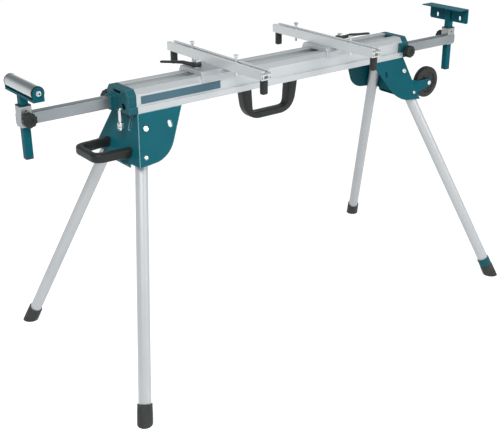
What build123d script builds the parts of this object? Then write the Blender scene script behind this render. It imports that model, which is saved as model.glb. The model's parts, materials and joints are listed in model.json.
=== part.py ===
from build123d import *
import math
import os

# Folding miter saw stand: an aluminium rail on four splayed legs, two saw brackets that
# clamp to the rail, and two telescopic arms that carry a roller and a stop plate.
# X runs along the rail, -Y is the front, +Z is up, and the origin is on the floor. The pieces
# are drawn about the middle of the rail, and moved at the end to the middle of the whole stand.
# Lengths are in millimetres, angles in degrees.

# Rail: hollow aluminium extrusion
rail_length = 1000.0
rail_bottom = 739.7
rail_height = 63.8
rail_lip_width = 124.4
rail_lip_height = 17.5
rail_side_width = 111.6
rail_chamfer_start = 49.2
rail_top_width = 89.2
rail_wall = 2.5
rail_slot_opening = 40.0
rail_slot_width = 48.0
rail_slot_lip = 3.0
rail_slot_depth = 16.0
rail_web_place = 13.6
rail_web_wall = 2.0
port_place_y = 34.0
port_drop = 10.5
port_outer_radius = 4.6
port_bore_radius = 2.2

# Trim plate on the front of the rail
trim_length = 259.0
trim_height = 21.5
trim_thickness = 0.8
trim_end_inset = 14.0
trim_rise = 22.5

# Shared clearances and cutting overrun
slide_gap = 0.3
press_gap = 0.1
running_gap = 0.05
overrun = 5.0

# Telescopic arms and their welded sleeves
arm_length = 950.0
arm_depth = 25.0
arm_height = 31.5
arm_wall = 2.0
arm_corner = 2.5
arm_place_y = 27.5
arm_floor_gap = 2.1
left_arm_reach = 268.3
right_arm_reach = 243.7
sleeve_side = 31.5
sleeve_wall = 2.0
sleeve_height = 54.3
sleeve_drop = 1.8
sleeve_hole_radius = 3.0
sleeve_hole_drop = 12.0
liner_rim = 2.6

# Height posts
post_side = 21.0
post_corner = 2.5
post_wall = 1.8
left_post_length = 168.2
right_post_length = 210.2
plug_head = 4.0
plug_stem = 16.0

# Roller and its bracket
roller_radius = 17.5
roller_length = 160.5
roller_place_y = 5.4
roller_wall = 1.6
roller_ring_width = 5.0
roller_ring_lip = 0.5
roller_ring_flange = 2.0
roller_side_gap = 1.0
bracket_sheet = 2.5
bracket_width = 30.0
bracket_side_height = 5.5
bracket_floor_gap = 2.0
roller_bracket_rise = 30.2
roller_axle_radius = 4.0
washer_radius = 7.0
washer_thickness = 1.5
acorn_nut_radius = 5.5
acorn_nut_height = 4.5

# Stop plate
stop_length = 165.0
stop_height = 49.5
stop_shelf = 47.0
stop_sheet = 3.0
stop_rise = 73.8
stop_slot_width = 9.0
stop_slot_height = 15.0
stop_slot_spacing = 98.2
stop_slot_rise = 12.0
stop_corner = 7.0

# Clamp knobs
knob_radius = 19.5
knob_thickness = 19.0
knob_lobe_radius = 4.2
knob_lobe_count = 10
knob_recess_radius = 7.5
knob_recess_depth = 4.0
knob_neck_radius = 9.0
knob_neck_length = 5.0
stud_radius = 4.0
post_knob_rise = 20.0

# End caps
cap_thickness = 27.0
cap_bevel = 5.0
cap_collar_reach = 41.5
cap_collar_wall = 3.0
cap_knob_place = 14.0
cap_rim_height = 6.0
cap_block_overlap = 16.0
cap_block_rise = 47.5
cap_arm_gap = 0.4
wrench_place_y = 31.0
wrench_hole_width = 22.0
wrench_hole_height = 19.0
wrench_hole_rise = 8.5
screw_radius = 2.0
screw_head_radius = 4.2
screw_head_height = 2.4
screw_length = 20.0

# Stored socket wrench
wrench_rod_radius = 4.4
wrench_arm_length = 34.0
wrench_drop = 43.5
wrench_stand_off = 12.0
wrench_bend = 9.0
socket_radius = 8.2
socket_length = 20.0
socket_bore_radius = 6.2
socket_bore_depth = 12.0

# Legs
leg_pivot_inset = 7.8
left_pivot_y = 57.0
right_pivot_y = 53.5
leg_pivot_drop = 49.7
leg_spread_x = 206.8
foot_span_y = 349.0
leg_radius = 17.0
leg_wall = 1.8
leg_end_radius = 17.5
leg_nest_gap = 1.2
foot_radius = 21.0
foot_height = 52.0
foot_floor = 12.0
foot_edge = 3.0

# Levelling foot on the front right leg
collar_radius = 20.0
collar_height = 27.0
collar_socket = 13.0
collar_seat_gap = 0.6
level_foot_height = 38.0
level_stem_radius = 8.0
level_stem_length = 44.0

# Leg brackets: folded steel plates under both ends of the rail
plate_sheet = 3.0
plate_stand_off = 26.0
plate_top_outer = 10.0
plate_top_inner = 130.0
plate_bottom_drop = 100.5
plate_bottom_outer = 47.5
plate_bottom_inner = 10.0
plate_bottom_inner_drop = 94.5
plate_belly_start_in = 75.0
plate_belly_start_drop = 49.0
plate_belly_in = 47.0
plate_belly_drop = 78.5
plate_fold_slot_length = 19.0
plate_web_length = 118.0
plate_boss_radius = 11.0
plate_boss_gap = 0.8
plate_tab_half_width = 75.0
plate_tab_drop = 10.0
plate_lip_half_width = 64.0
plate_lip_depth = 8.0
plate_slot_width = 9.0
plate_slot_length = 35.0
plate_slot_place_y = 35.0
plate_slot_rise = 10.5
web_bolt_shares = (0.3, 0.85)
pivot_bolt_radius = 5.0
pivot_head_radius = 8.0
pivot_head_height = 4.5
pivot_head_round = 1.5
pivot_nut_radius = 8.0
pivot_nut_height = 7.0

# Spring lock pins of the legs
lock_pin_distance = 78.0
lock_pin_radius = 5.5
lock_pin_proud = 5.0
lock_pin_travel = 9.0
lock_pin_flange_radius = 7.5
lock_pin_flange = 1.5
lock_pin_dome = 2.0

# Transport wheels and the ears that carry them
wheel_radius = 51.0
wheel_width = 22.0
wheel_overhang = 92.4
wheel_drop = 88.7
wheel_edge = 4.0
wheel_dish_radius = 34.0
wheel_dish_depth = 4.0
ear_place_y = 106.0
ear_sheet = 3.0
ear_root_top_drop = 71.7
ear_root_bottom_drop = 123.7
ear_root_overlap = 10.0
ear_root_sink = 0.2
ear_twist_length = 6.0
ear_tip_radius = 13.0
ear_wheel_gap = 1.6
axle_radius = 5.0
axle_head_radius = 7.5
axle_head_height = 4.0
axle_head_round = 1.3

# Carry handle under the rail
handle_centre_x = -20.5
handle_half_width = 106.0
handle_drop = 103.5
handle_depth = 24.0
handle_grip_height = 19.5
handle_arm_width = 34.0
handle_inner_half = 66.0
handle_inner_corner = 18.0
handle_edge = 4.0
handle_outline_shares = ((1.0, 0.0), (0.91, 0.58), (0.73, 0.85), (0.42, 1.0))

# Tow grip on the left leg bracket
grip_height = 20.0
grip_drop = 97.7
grip_length = 104.4
grip_half_width = 59.0
grip_bar = 19.0
grip_root_half = 70.0
grip_root_width = 24.0
grip_corner = 20.0
grip_edge = 3.0
grip_bolt_place_y = 57.0

# Saw brackets: beam, clamp base, lever, bolts and end feet
left_beam_x = -201.0
right_beam_x = 208.0
beam_length = 465.0
beam_width = 32.0
beam_height = 25.3
base_height = 13.1
beam_slot_opening = 12.0
beam_slot_lip = 3.0
beam_slot_width = 20.0
beam_slot_depth = 10.5
beam_web = 2.5
beam_floor = 3.0
beam_cell_width = 17.0
beam_cell_top_width = 13.0
beam_corner_cell = 3.4
beam_corner_cell_height = 7.5
beam_mill_width = 8.6
beam_mill_start = 66.0
beam_mill_end = 221.0
beam_end_foot_width = 20.0
beam_end_foot_depth = 17.0
beam_end_foot_drop = 41.0
beam_end_foot_inset = 3.0
base_outer_reach = 87.0
base_inner_reach = 36.0
base_half_depth = 60.0
base_top_half_depth = 52.0
base_hook_drop = 9.5
base_hook_wall = 4.0
base_rail_gap = 0.3
clamp_screw_offset = 68.0
clamp_plate_width = 45.0
clamp_plate_length = 30.0
clamp_plate_thickness = 4.0
clamp_screw_radius = 5.0
clamp_washer_radius = 11.0
clamp_washer_height = 3.0
clamp_nut_radius = 8.5
clamp_nut_height = 7.0
lever_hub_radius = 15.0
lever_hub_height = 11.5
lever_length = 104.0
lever_root_width = 22.0
lever_tip_width = 12.0
lever_thickness = 7.0
left_lever_heading = 136.0
right_lever_heading = -18.0

# Saw bolts in the beam slots
saw_bolt_radius = 4.0
saw_bolt_head_radius = 7.5
saw_bolt_head_height = 5.5
saw_bolt_rise = 13.0
saw_bolt_drop = 15.0
saw_nut_side = 17.0
saw_nut_height = 5.0
left_front_bolt_y = -97.0
left_rear_bolt_y = 119.0
right_front_bolt_y = -121.0
right_rear_bolt_y = 133.0

# Places that follow from the sizes above
rail_top = rail_bottom + rail_height
rail_half = rail_length / 2
lip_half = rail_lip_width / 2
side_half = rail_side_width / 2
top_half = rail_top_width / 2
beam_bottom = rail_top + base_height
beam_top = beam_bottom + beam_height
leg_pivot_x = rail_half - leg_pivot_inset
leg_pivot_z = rail_bottom - leg_pivot_drop
foot_span_x = leg_pivot_x + leg_spread_x
wheel_place_x = leg_pivot_x + wheel_overhang
wheel_place_z = rail_bottom - wheel_drop
ear_root_top = rail_bottom - ear_root_top_drop
ear_root_bottom = rail_bottom - ear_root_bottom_drop
grip_mid_z = rail_bottom - grip_drop


# Shared solids and placing helpers
def block(x_low, x_high, y_low, y_high, z_low, z_high):
    size = Box(x_high - x_low, y_high - y_low, z_high - z_low)
    return Pos((x_low + x_high) / 2, (y_low + y_high) / 2, (z_low + z_high) / 2) * size


def rod(start, end, radius):
    axis = Vector(*end) - Vector(*start)
    seat = Plane(origin=start, z_dir=axis)
    return seat * Cylinder(radius, axis.length, align=(Align.CENTER, Align.CENTER, Align.MIN))


def hex_rod(start, end, corner_radius):
    axis = Vector(*end) - Vector(*start)
    seat = Plane(origin=start, z_dir=axis)
    return extrude(seat * RegularPolygon(corner_radius, 6), amount=axis.length)


def prism_x(outline, x_low, x_high):
    face = make_face(Polyline(*[(x_low, y, z) for y, z in outline], close=True))
    return extrude(face, amount=x_high - x_low, dir=(1, 0, 0))


def prism_y(outline, y_low, y_high):
    face = make_face(Polyline(*[(x, y_low, z) for x, z in outline], close=True))
    return extrude(face, amount=y_high - y_low, dir=(0, 1, 0))


def mirrored_outline(half):
    """Closes an outline given for +Y by its mirror image for -Y."""
    return half + [(-y, z) for y, z in reversed(half)]


def place(shape, right, rear):
    """Moves a shape made for the front left corner to another corner by mirroring."""
    if right:
        shape = mirror(shape, about=Plane.YZ)
    if rear:
        shape = mirror(shape, about=Plane.XZ)
    return shape


def turned(shape):
    """Turns a shape half a turn about the vertical axis through the middle of the stand."""
    return Rot(0, 0, 180) * shape


nodes = {}


def add(name, *shapes):
    solids = [solid for shape in shapes for solid in shape.solids()]
    nodes[name] = solids


# Rail extrusion with a clamp slot on top, two arm chambers and four screw ports
rail_outline_half = [
    (lip_half, rail_bottom),
    (lip_half, rail_bottom + rail_lip_height),
    (side_half, rail_bottom + rail_lip_height),
    (side_half, rail_bottom + rail_chamfer_start),
    (top_half, rail_top),
]


def make_rail():
    slot_floor = rail_top - rail_slot_depth
    slot_half = rail_slot_width / 2
    opening_half = rail_slot_opening / 2
    body = prism_x(mirrored_outline(rail_outline_half), -rail_half, rail_half)
    body -= block(-rail_half, rail_half, -opening_half, opening_half,
                  slot_floor, rail_top + overrun)
    body -= block(-rail_half, rail_half, -slot_half, slot_half,
                  slot_floor, rail_top - rail_slot_lip)
    floor = rail_bottom + rail_wall
    inner_side = side_half - rail_wall
    outer_cell = [
        (rail_web_place, floor),
        (inner_side, floor),
        (inner_side, rail_bottom + rail_chamfer_start - rail_wall / 2),
        (top_half - rail_wall, rail_top - rail_wall),
        (slot_half + rail_wall, rail_top - rail_wall),
        (slot_half + rail_wall, slot_floor - rail_wall),
        (rail_web_place, slot_floor - rail_wall),
    ]
    middle_half = rail_web_place - rail_web_wall
    body -= prism_x(outer_cell, -rail_half, rail_half)
    body -= prism_x([(-y, z) for y, z in outer_cell], -rail_half, rail_half)
    body -= block(-rail_half, rail_half, -middle_half, middle_half,
                  floor, slot_floor - rail_wall)
    for side in (-1, 1):
        centre = (side * port_place_y, rail_top - port_drop)
        port = rod((-rail_half, *centre), (rail_half, *centre), port_outer_radius)
        seat = block(-rail_half, rail_half,
                     centre[0] - port_bore_radius, centre[0] + port_bore_radius,
                     centre[1], rail_top - rail_wall)
        bore = rod((-rail_half, *centre), (rail_half, *centre), port_bore_radius)
        body = body + port + seat - bore
    return body


add("main_rail", make_rail())


# Teal trim plate on the front face of the rail
def make_trim():
    x_low = -rail_half + trim_end_inset
    z_low = rail_bottom + trim_rise
    return block(x_low, x_low + trim_length, -side_half - trim_thickness, -side_half,
                 z_low, z_low + trim_height)


add("rail_trim_plate", make_trim())

# End caps: made for the left end, and turned half round for the right end
arm_bottom = rail_bottom + rail_wall + arm_floor_gap
arm_top = arm_bottom + arm_height
arm_inner_y = arm_place_y - arm_depth / 2
arm_outer_y = arm_place_y + arm_depth / 2
arm_mid_z = (arm_bottom + arm_top) / 2
cap_face = -rail_half - cap_thickness
cap_knob_x = -rail_half - cap_knob_place
cap_knob_z = arm_mid_z
wrench_hole_bottom = rail_bottom + wrench_hole_rise
wrench_y = -wrench_place_y


def make_end_cap():
    body = prism_x(mirrored_outline(rail_outline_half), cap_face, -rail_half)
    outer_rim = [edge for edge in body.edges().group_by(Axis.X)[0]
                 if edge.center().Z > rail_bottom + rail_lip_height]
    body = chamfer(outer_rim, cap_bevel / 2)
    collar = block(-rail_half - cap_collar_reach, -rail_half,
                   arm_inner_y - cap_collar_wall, arm_outer_y + cap_collar_wall,
                   rail_bottom, arm_top + cap_collar_wall)
    collar = fillet(collar.edges().group_by(Axis.X)[0], cap_collar_wall / 2)
    body += collar
    block_low = rail_bottom + rail_lip_height
    block_high = rail_bottom + cap_block_rise
    body += block(cap_face + cap_bevel, -rail_half, side_half - press_gap, lip_half,
                  block_low, block_high)
    body += block(-rail_half - press_gap, -rail_half + cap_block_overlap,
                  side_half + press_gap, lip_half, block_low + press_gap, block_high)
    opening_half = rail_slot_opening / 2
    body -= block(cap_face - overrun, -rail_half, -opening_half, opening_half,
                  rail_top - rail_slot_depth, rail_top - cap_rim_height)
    body -= block(-rail_half - cap_collar_reach - overrun, -rail_half,
                  arm_inner_y - cap_arm_gap, arm_outer_y + cap_arm_gap,
                  arm_bottom - cap_arm_gap, arm_top + cap_arm_gap)
    arch_radius = wrench_hole_width / 2
    arch_z = wrench_hole_bottom + wrench_hole_height - arch_radius
    body -= block(cap_face - overrun, -rail_half, wrench_y - arch_radius,
                  wrench_y + arch_radius, wrench_hole_bottom, arch_z)
    arch = rod((cap_face - overrun, wrench_y, arch_z), (-rail_half, wrench_y, arch_z),
               arch_radius)
    body -= arch & block(cap_face - overrun, -rail_half, wrench_y - arch_radius,
                         wrench_y + arch_radius, arch_z, arch_z + arch_radius)
    body -= rod((cap_knob_x, arm_outer_y, cap_knob_z), (cap_knob_x, lip_half + overrun, cap_knob_z),
                stud_radius + press_gap)
    screw_z = rail_top - port_drop
    for side in (-1, 1):
        body -= rod((cap_face - overrun, side * port_place_y, screw_z),
                    (-rail_half, side * port_place_y, screw_z), screw_radius + press_gap)
        body -= rod((cap_face - overrun, side * port_place_y, screw_z),
                    (cap_face + screw_head_height, side * port_place_y, screw_z),
                    screw_head_radius + slide_gap)
    return body


end_cap = make_end_cap()
add("end_cap_left", end_cap)
add("end_cap_right", turned(end_cap))


def make_cap_screws():
    screws = []
    screw_z = rail_top - port_drop
    seat_x = cap_face + screw_head_height
    for side in (-1, 1):
        y = side * port_place_y
        head = rod((seat_x - screw_head_height, y, screw_z), (seat_x, y, screw_z),
                   screw_head_radius)
        shank = rod((seat_x, y, screw_z), (seat_x + cap_thickness + screw_length, y, screw_z),
                    screw_radius)
        screws.append(head + shank)
    return screws + [turned(screw) for screw in screws]


# Stored socket wrench, hung by its short arm in the left end cap
def make_wrench():
    z = wrench_hole_bottom + wrench_rod_radius + slide_gap
    x = cap_face - wrench_stand_off
    path = FilletPolyline((cap_face + wrench_arm_length, wrench_y, z), (x, wrench_y, z),
                          (x, wrench_y, z - wrench_drop), radius=wrench_bend)
    start = Plane(origin=path @ 0, z_dir=path % 0)
    shank = sweep(start * Circle(wrench_rod_radius), path=path)
    socket_top = z - wrench_drop + socket_bore_depth / 2
    socket = rod((x, wrench_y, socket_top - socket_length), (x, wrench_y, socket_top),
                 socket_radius)
    shank += socket
    socket_end = socket_top - socket_length
    return shank - hex_rod((x, wrench_y, socket_end - overrun),
                           (x, wrench_y, socket_end + socket_bore_depth), socket_bore_radius)


add("socket_wrench", make_wrench())


# Leg geometry: each leg leans outward, and is toed a little against its bracket plate, so
# that the folded left and right legs lie side by side under the rail.
class LegFrame:
    def __init__(self, right):
        pivot_y = right_pivot_y if right else left_pivot_y
        splay = math.atan2(foot_span_y - pivot_y, leg_pivot_z)
        nest = foot_radius + leg_radius + leg_nest_gap + left_pivot_y - right_pivot_y
        toe = math.asin(nest / (leg_pivot_x + leg_pivot_x))
        run = (foot_span_x - leg_pivot_x) / leg_pivot_z * math.cos(splay)
        out = run / math.hypot(1, run)
        rest = math.sqrt(1 - out * out)
        lean = math.asin(math.sin(toe) / rest)
        self.tilt = splay - lean if right else splay + lean
        self.angle = math.atan2(out, rest * math.cos(lean))
        self.pivot = Vector(-leg_pivot_x, -pivot_y, leg_pivot_z)
        self.along = Vector(-out, -math.sin(splay) * rest, -math.cos(splay) * rest)
        self.length = leg_pivot_z / (math.cos(splay) * rest)
        self.inward = Vector(1, 0, 0)
        self.down = Vector(0, -math.sin(self.tilt), -math.cos(self.tilt))
        self.normal = Vector(0, math.cos(self.tilt), -math.sin(self.tilt))
        self.face = self.pivot - self.normal * plate_stand_off
        self.pin = self.pivot + self.along * lock_pin_distance

    def on_plate(self, inward, drop, depth=0.0):
        return self.face + self.inward * inward + self.down * drop + self.normal * depth

    def on_leg(self, distance):
        return self.pivot + self.along * distance


frames = {False: LegFrame(False), True: LegFrame(True)}


def plate_rise(frame):
    """Drop, negative, at which the plate's outer face meets the underside of the rail."""
    return -(rail_bottom - frame.face.Z) / math.cos(frame.tilt)


def make_side_plate(frame):
    top = plate_rise(frame)
    corners = [
        frame.on_plate(plate_bottom_inner, plate_bottom_inner_drop),
        frame.on_plate(-plate_bottom_outer, plate_bottom_drop),
        frame.on_plate(-plate_top_outer, top),
        frame.on_plate(plate_top_inner, top),
        frame.on_plate(plate_belly_start_in, plate_belly_start_drop),
    ]
    edges = [Line(corners[i], corners[i + 1]) for i in range(4)]
    belly = frame.on_plate(plate_belly_in, plate_belly_drop)
    edges.append(ThreePointArc(corners[4], belly, corners[0]))
    face = Face(Wire([edge.edge() for edge in edges]))
    plate = Part() + Solid.extrude(face, frame.normal * plate_sheet)
    boss_height = plate_stand_off - leg_radius - plate_boss_gap
    return plate + rod(frame.on_plate(0, 0), frame.on_plate(0, 0, boss_height),
                       plate_boss_radius)


def end_plate_x(frame, z):
    """Place along X of the end plate's outer face at height z, on the left bracket."""
    top = frame.on_plate(-plate_top_outer, plate_rise(frame))
    bottom = frame.on_plate(-plate_bottom_outer, plate_bottom_drop)
    return top.X + (bottom.X - top.X) * (top.Z - z) / (top.Z - bottom.Z)


def make_end_plate(frame):
    top = frame.on_plate(-plate_top_outer, plate_rise(frame))
    bottom = frame.on_plate(-plate_bottom_outer, plate_bottom_drop)
    outline = [(top.X, top.Y, top.Z), (bottom.X, bottom.Y, bottom.Z),
               (bottom.X, -bottom.Y, bottom.Z), (top.X, -top.Y, top.Z)]
    face = make_face(Polyline(*outline, close=True))
    plate = extrude(face, amount=plate_sheet, dir=(1, 0, 0))
    tab_z = bottom.Z - plate_tab_drop
    tab_x = end_plate_x(frame, tab_z)
    half = plate_tab_half_width
    tab = make_face(Polyline((tab_x, -half, tab_z), (bottom.X, -half, bottom.Z),
                             (bottom.X, half, bottom.Z), (tab_x, half, tab_z), close=True))
    plate += extrude(tab, amount=plate_sheet, dir=(1, 0, 0))
    return plate + block(tab_x, tab_x + plate_lip_depth, -plate_lip_half_width,
                         plate_lip_half_width, tab_z, tab_z + plate_sheet)


def make_leg_bracket(right):
    frame = frames[right]
    side = make_side_plate(frame)
    body = side + mirror(side, about=Plane.XZ) + make_end_plate(frame)
    top = frame.on_plate(-plate_top_outer, plate_rise(frame))
    body += block(top.X, top.X + plate_web_length, top.Y, -top.Y,
                  rail_bottom - plate_sheet, rail_bottom)
    ear = make_ear(frame) if right else None
    for rear in (False, True):
        hole = rod(frame.on_plate(0, 0, -overrun), frame.on_plate(0, 0, plate_stand_off),
                   pivot_bolt_radius + press_gap)
        pin_radius = lock_pin_radius + press_gap
        depth = plate_sheet + overrun
        rest_hole = rod(frame.pin - frame.normal * (plate_stand_off + depth),
                        frame.pin - frame.normal * leg_radius, pin_radius)
        reach = lock_pin_distance * math.cos(math.asin(abs(frame.along.dot(frame.normal))))
        slide = (plate_fold_slot_length / 2 - pin_radius) * 2
        fold_slot = SlotCenterToCenter(slide, pin_radius * 2)
        seat = Plane(origin=frame.on_plate(reach, 0, -overrun), x_dir=frame.down,
                     z_dir=frame.normal)
        fold_hole = extrude(seat * fold_slot, amount=depth + overrun)
        body -= place(hole + rest_hole + fold_hole, False, rear)
        if right:
            body += place(ear, False, rear)
    for centre in web_bolt_places(frame):
        body -= rod((*centre, rail_bottom - plate_sheet), (*centre, rail_bottom),
                    screw_radius + press_gap)
    return body


def web_bolt_places(frame):
    top = frame.on_plate(-plate_top_outer, plate_rise(frame))
    middle_half = rail_web_place - rail_web_wall
    return [(top.X + plate_web_length * share, side * middle_half / 2)
            for share in web_bolt_shares for side in (-1, 1)]


# Wheel ear: a twisted tab from the bracket's front outer edge to an upright tip
def make_ear(frame):
    root_x = end_plate_x(frame, (ear_root_top + ear_root_bottom) / 2)
    slope = math.tan(frame.tilt)
    tip_x = -wheel_place_x

    def plate_y(z):
        return frame.face.Y - (frame.face.Z - z) * slope + ear_root_sink

    def section(x, y_top, y_bottom, z_top, z_bottom):
        return make_face(Polyline((x, y_top, z_top), (x, y_bottom, z_bottom),
                                  (x, y_bottom + ear_sheet, z_bottom),
                                  (x, y_top + ear_sheet, z_top), close=True))

    root = section(root_x + ear_root_overlap, plate_y(ear_root_top), plate_y(ear_root_bottom),
                   ear_root_top, ear_root_bottom)
    twist_top = wheel_place_z + ear_tip_radius
    twist_bottom = ear_root_bottom + ear_root_overlap
    twist_x = root_x - ear_twist_length
    upright = section(twist_x, -ear_place_y, -ear_place_y, twist_top, twist_bottom)
    ear = loft([root, upright], ruled=True)
    tip_bottom = wheel_place_z - ear_tip_radius
    tip = prism_y([(twist_x, twist_bottom), (twist_x, twist_top), (tip_x, twist_top),
                   (tip_x, tip_bottom)], -ear_place_y, -ear_place_y + ear_sheet)
    tip += rod((tip_x, -ear_place_y, wheel_place_z),
               (tip_x, -ear_place_y + ear_sheet, wheel_place_z), ear_tip_radius)
    tip -= rod((tip_x, -ear_place_y - overrun, wheel_place_z),
               (tip_x, -ear_place_y + ear_sheet + overrun, wheel_place_z),
               axle_radius + press_gap)
    return ear + tip


def cut_end_slot(body, frame):
    """Upright slot beside the stored wrench in the left end plate."""
    z_high = rail_bottom - plate_sheet - plate_slot_rise
    x = end_plate_x(frame, rail_bottom)
    half = plate_slot_width / 2
    return body - block(x - plate_bottom_outer, x + plate_top_outer / 2,
                        -plate_slot_place_y - half, -plate_slot_place_y + half,
                        z_high - plate_slot_length, z_high)


left_frame = frames[False]
right_frame = frames[True]
left_bracket = cut_end_slot(make_leg_bracket(False), left_frame)
grip_reach_x = grip_length - end_plate_x(left_frame, grip_mid_z)


# Tow grip: a moulded loop that stands out level from the left end plate
def make_tow_grip():
    z_low = grip_mid_z - grip_height / 2
    z_high = grip_mid_z + grip_height / 2
    plate_x = end_plate_x(left_frame, grip_mid_z)
    root_x = plate_x + grip_height
    outer_half = [(-grip_reach_x, grip_half_width), (plate_x, grip_root_half),
                  (root_x, grip_root_half)]
    inner_half = [(root_x, grip_root_half - grip_root_width),
                  (plate_x, grip_root_half - grip_root_width),
                  (-grip_reach_x + grip_bar, grip_half_width - grip_bar)]
    half = outer_half + inner_half
    points = half + [(x, -y) for x, y in reversed(half)]
    loop = make_face(Polyline(*[(x, y, z_low) for x, y in points], close=True))
    body = extrude(loop, amount=grip_height, dir=(0, 0, 1))
    upright = body.edges().filter_by(Axis.Z)
    outer = [e for e in upright if e.center().X < -grip_reach_x + grip_edge]
    body = fillet(outer, grip_corner)
    inner = [e for e in body.edges().filter_by(Axis.Z)
             if abs(e.center().X + grip_reach_x - grip_bar) < grip_edge]
    body = fillet(inner, grip_edge + grip_edge)
    top = left_frame.on_plate(-plate_top_outer, plate_rise(left_frame))
    bottom = left_frame.on_plate(-plate_bottom_outer, plate_bottom_drop)
    behind = prism_y([(top.X, top.Z), (bottom.X, bottom.Z),
                      (bottom.X + plate_bottom_outer + plate_top_inner, bottom.Z),
                      (top.X + plate_top_inner, top.Z)], -lip_half - lip_half,
                     lip_half + lip_half)
    return body - behind


def grip_bolt_ends(side):
    """Seat on the inner face of the end plate, and the end in the grip, of one bolt."""
    y = side * grip_bolt_place_y
    seat_x = end_plate_x(left_frame, grip_mid_z) + plate_sheet
    return (seat_x, y, grip_mid_z), (seat_x - plate_sheet - screw_length, y, grip_mid_z)


tow_grip = make_tow_grip()
for side in (-1, 1):
    seat, end = grip_bolt_ends(side)
    start = (seat[0] + overrun, seat[1], seat[2])
    stop = (end[0] - overrun, end[1], end[2])
    left_bracket -= rod(start, stop, screw_radius + press_gap)
    tow_grip -= rod(start, stop, screw_radius + press_gap)
add("leg_bracket_left", left_bracket)
add("leg_bracket_right", mirror(make_leg_bracket(True), about=Plane.YZ))
add("tow_grip", tow_grip)


# Screws of the frame: end caps, bracket webs under the rail, and the tow grip
def make_frame_screws():
    screws = make_cap_screws()
    for right in (False, True):
        for x, y in web_bolt_places(frames[right]):
            low = rail_bottom - plate_sheet
            head = rod((x, y, low - screw_head_height), (x, y, low), screw_head_radius)
            screw = head + rod((x, y, low), (x, y, rail_bottom), screw_radius)
            screws.append(place(screw, right, False))
    for side in (-1, 1):
        seat, end = grip_bolt_ends(side)
        lean = abs(end_plate_x(left_frame, grip_mid_z)
                   - end_plate_x(left_frame, grip_mid_z - screw_head_radius))
        head_start = (seat[0] + lean, seat[1], seat[2])
        head_end = (head_start[0] + screw_head_height, seat[1], seat[2])
        screws.append(rod(head_start, head_end, screw_head_radius)
                      + rod(end, head_start, screw_radius))
    return screws


add("frame_screws", *make_frame_screws())


# Legs, feet, pivot bolts and lock pins
def make_leg(frame, length):
    start = frame.on_leg(-leg_end_radius - overrun)
    end = frame.on_leg(length)
    pivot_span = leg_radius + overrun
    crown = rod(frame.pivot - frame.normal * pivot_span,
                frame.pivot + frame.normal * pivot_span, leg_end_radius)
    leg = rod(frame.pivot, end, leg_radius) + (rod(start, frame.pivot, leg_radius) & crown)
    leg -= rod(start, end, leg_radius - leg_wall)
    leg -= rod(frame.pivot - frame.normal * pivot_span,
               frame.pivot + frame.normal * pivot_span, pivot_bolt_radius + running_gap)
    leg -= rod(frame.pin - frame.normal * pivot_span, frame.pin,
               lock_pin_radius + running_gap)
    return leg


def floor_cut(shape):
    reach = foot_span_x + foot_radius * 2
    return shape - block(-reach, 0, -reach, 0, -foot_height, 0)


def make_foot(frame):
    top = frame.length - foot_height
    body = rod(frame.on_leg(top), frame.on_leg(frame.length + foot_floor), foot_radius)
    rim = body.edges().filter_by(GeomType.CIRCLE).group_by(Axis.Z)[-1]
    body = chamfer(rim, foot_edge)
    body = floor_cut(body)
    return body - rod(frame.on_leg(top - overrun), frame.on_leg(frame.length - foot_floor),
                      leg_radius + press_gap)


def make_level_foot(frame):
    top = frame.length - level_foot_height
    body = rod(frame.on_leg(top), frame.on_leg(frame.length + foot_floor), foot_radius)
    body = floor_cut(body)
    return body + rod(frame.on_leg(top - level_stem_length), frame.on_leg(top),
                      level_stem_radius)


def make_collar(frame):
    bottom = frame.length - level_foot_height - slide_gap
    body = rod(frame.on_leg(bottom - collar_height), frame.on_leg(bottom), collar_radius)
    body -= rod(frame.on_leg(bottom - collar_height - overrun),
                frame.on_leg(bottom - collar_height + collar_socket),
                leg_radius + running_gap)
    return body - rod(frame.on_leg(bottom - collar_height), frame.on_leg(bottom + overrun),
                      level_stem_radius + running_gap)


def make_pivot_bolt(frame):
    outside = frame.face - frame.normal * pivot_head_height
    inside = frame.pivot + frame.normal * (leg_radius + plate_boss_gap)
    head = rod(outside, frame.face, pivot_head_radius)
    head = fillet(head.edges().filter_by(GeomType.CIRCLE).group_by(Axis.Y)[0],
                  pivot_head_round)
    nut_end = inside + frame.normal * pivot_nut_height
    return head + rod(frame.face, inside, pivot_bolt_radius) + hex_rod(inside, nut_end,
                                                                     pivot_nut_radius)


def make_lock_pin(frame):
    surface = frame.pin - frame.normal * plate_stand_off
    end = surface - frame.normal * lock_pin_proud
    bore = leg_radius - leg_wall
    seat = frame.pin - frame.normal * (math.sqrt(bore ** 2 - lock_pin_flange_radius ** 2)
                                       - press_gap)
    pin = rod(end, seat, lock_pin_radius)
    pin = fillet(pin.edges().filter_by(GeomType.CIRCLE).group_by(Axis.Y)[0], lock_pin_dome)
    return pin + rod(seat, seat + frame.normal * lock_pin_flange, lock_pin_flange_radius)


pivot_bolts = []
for right, rear, corner in ((False, False, "front_left"), (False, True, "rear_left"),
                            (True, False, "front_right"), (True, True, "rear_right")):
    frame = frames[right]
    levelling = right and not rear
    if levelling:
        foot = make_level_foot(frame)
        collar_bottom = frame.length - level_foot_height - slide_gap
        tube_end = collar_bottom - collar_height + collar_socket - collar_seat_gap
        add("levelling_collar", place(make_collar(frame), right, rear))
    else:
        foot = make_foot(frame)
        tube_end = frame.length - foot_floor
    add("leg_" + corner, place(make_leg(frame, tube_end), right, rear))
    add("foot_" + corner, place(foot, right, rear))
    add("lock_pin_" + corner, place(make_lock_pin(frame), right, rear))
    pivot_bolts.append(place(make_pivot_bolt(frame), right, rear))
add("leg_pivot_bolts", *pivot_bolts)


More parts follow.
